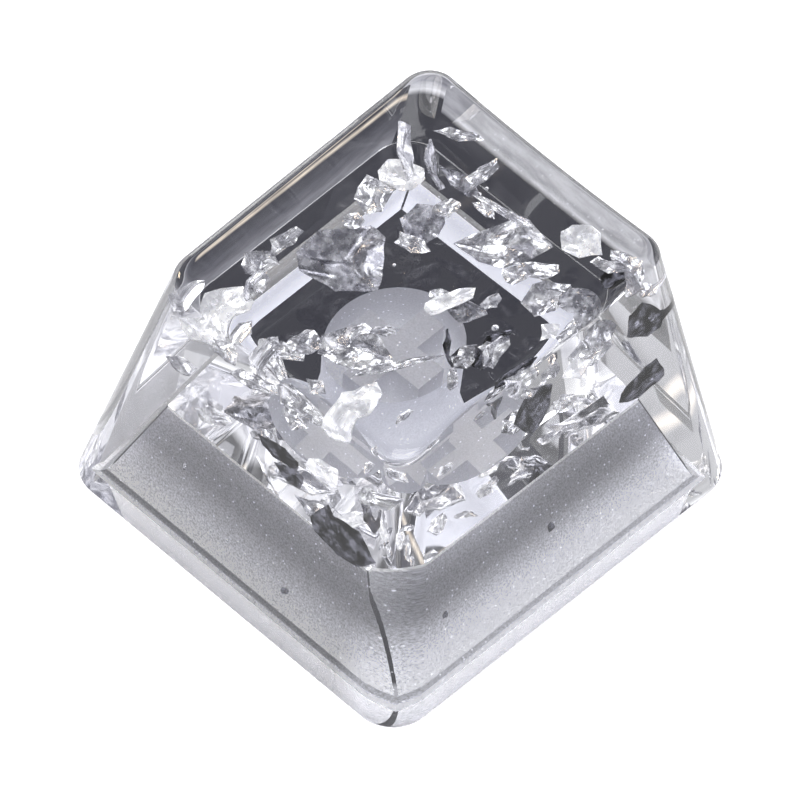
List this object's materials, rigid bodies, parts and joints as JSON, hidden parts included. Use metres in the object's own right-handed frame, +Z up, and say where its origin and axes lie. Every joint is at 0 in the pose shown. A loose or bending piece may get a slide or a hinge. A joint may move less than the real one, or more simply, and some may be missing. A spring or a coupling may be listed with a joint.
{
  "type": "keycap",
  "caption": "Clear cast resin keycap with a dished top, drafted walls, a hollow underside round a stem with a cross socket, and crumpled silver foil sealed in its crown.",
  "frame": {"origin": "on the stem's axis in the plane of the rim, which is the centre of the rim's outline", "axes": "+Z up from the rim to the top face, -Y towards the typist, +X to the typist's right"},
  "size_m": [0.0176, 0.018, 0.012],
  "materials": {
    "clear_resin": "water-clear cast resin, polished outside, satin on the cavity walls",
    "silver_foil": "bright crumpled leaf"
  },
  "bodies": {
    "root": {"keycap_body": "clear_resin", "foil_flake_01": "silver_foil", "foil_flake_02": "silver_foil", "foil_flake_03": "silver_foil", "foil_flake_04": "silver_foil", "foil_flake_05": "silver_foil", "foil_flake_06": "silver_foil", "foil_flake_07": "silver_foil", "foil_flake_08": "silver_foil", "foil_flake_09": "silver_foil", "foil_flake_10": "silver_foil", "foil_flake_11": "silver_foil", "foil_flake_12": "silver_foil", "foil_flake_13": "silver_foil", "foil_flake_14": "silver_foil", "foil_flake_15": "silver_foil", "foil_flake_16": "silver_foil", "foil_flake_17": "silver_foil", "foil_flake_18": "silver_foil", "foil_flake_19": "silver_foil", "foil_flake_20": "silver_foil", "foil_flake_21": "silver_foil", "foil_flake_22": "silver_foil", "foil_flake_23": "silver_foil", "foil_flake_24": "silver_foil", "foil_flake_25": "silver_foil", "foil_flake_26": "silver_foil", "foil_flake_27": "silver_foil", "foil_flake_28": "silver_foil", "foil_flake_29": "silver_foil", "foil_flake_30": "silver_foil", "foil_flake_31": "silver_foil", "foil_flake_32": "silver_foil", "foil_flake_33": "silver_foil", "foil_flake_34": "silver_foil", "foil_flake_35": "silver_foil", "foil_flake_36": "silver_foil", "foil_flake_37": "silver_foil", "foil_flake_38": "silver_foil", "foil_chips": "silver_foil"}
  },
  "joints": []
}
